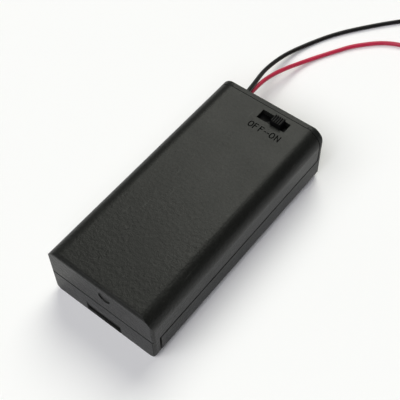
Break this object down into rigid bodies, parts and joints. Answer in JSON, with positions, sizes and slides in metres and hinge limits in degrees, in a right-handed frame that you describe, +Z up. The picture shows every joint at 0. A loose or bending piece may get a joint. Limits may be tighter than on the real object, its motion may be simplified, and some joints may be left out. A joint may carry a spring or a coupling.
{
  "type": "enclosed cylindrical cell holder with switch",
  "caption": "Enclosed holder for cylindrical cells side by side, with a lift-off cover, a slide switch under a slot and a pair of flying leads.",
  "frame": {"origin": "under the middle of the closed case, on the surface it rests on", "axes": "+Y along the case towards the end with the switch and the leads, +X across it, +Z up through the cover"},
  "size_m": [0.05, 0.1466, 0.02],
  "materials": {
    "case": "fine matte texture, moulded",
    "case_cover": "fine matte texture, moulded",
    "plated_sheet": "nickel plated",
    "spring_wire": "nickel plated spring steel",
    "switch_can": "tin plated",
    "switch_board": "laminated board",
    "contact_brass": "plated",
    "switch_knob": "moulded",
    "red_sleeve": "soft, slightly glossy",
    "black_sleeve": "soft, slightly glossy",
    "solder": "bright",
    "tinned_wire": "bright"
  },
  "bodies": {
    "tray": {"base_tray": "case", "near_bridge_plate": "plated_sheet", "near_bridge_spring": "spring_wire", "far_negative_plate": "plated_sheet", "far_negative_spring": "spring_wire", "far_positive_plate": "plated_sheet", "switch_frame": "switch_can", "switch_board": "switch_board", "switch_terminals": "contact_brass", "link_wire": "red_sleeve", "solder_joints": "solder", "black_lead": "black_sleeve", "red_lead": "red_sleeve", "black_coil": "black_sleeve", "red_coil": "red_sleeve", "black_bare_end": "tinned_wire", "red_bare_end": "tinned_wire"},
    "cover": {"cover": "case_cover"},
    "slider": {"switch_slider": "switch_knob", "switch_wiper": "contact_brass"}
  },
  "joints": [
    {"name": "cover_lift", "type": "slide", "parent": "tray", "child": "cover", "axis": [0, 0, 1], "range_m": [0, 0.022]},
    {"name": "switch_slide", "type": "slide", "parent": "tray", "child": "slider", "axis": [-1, 0, 0], "range_m": [0, 0.0026]}
  ]
}
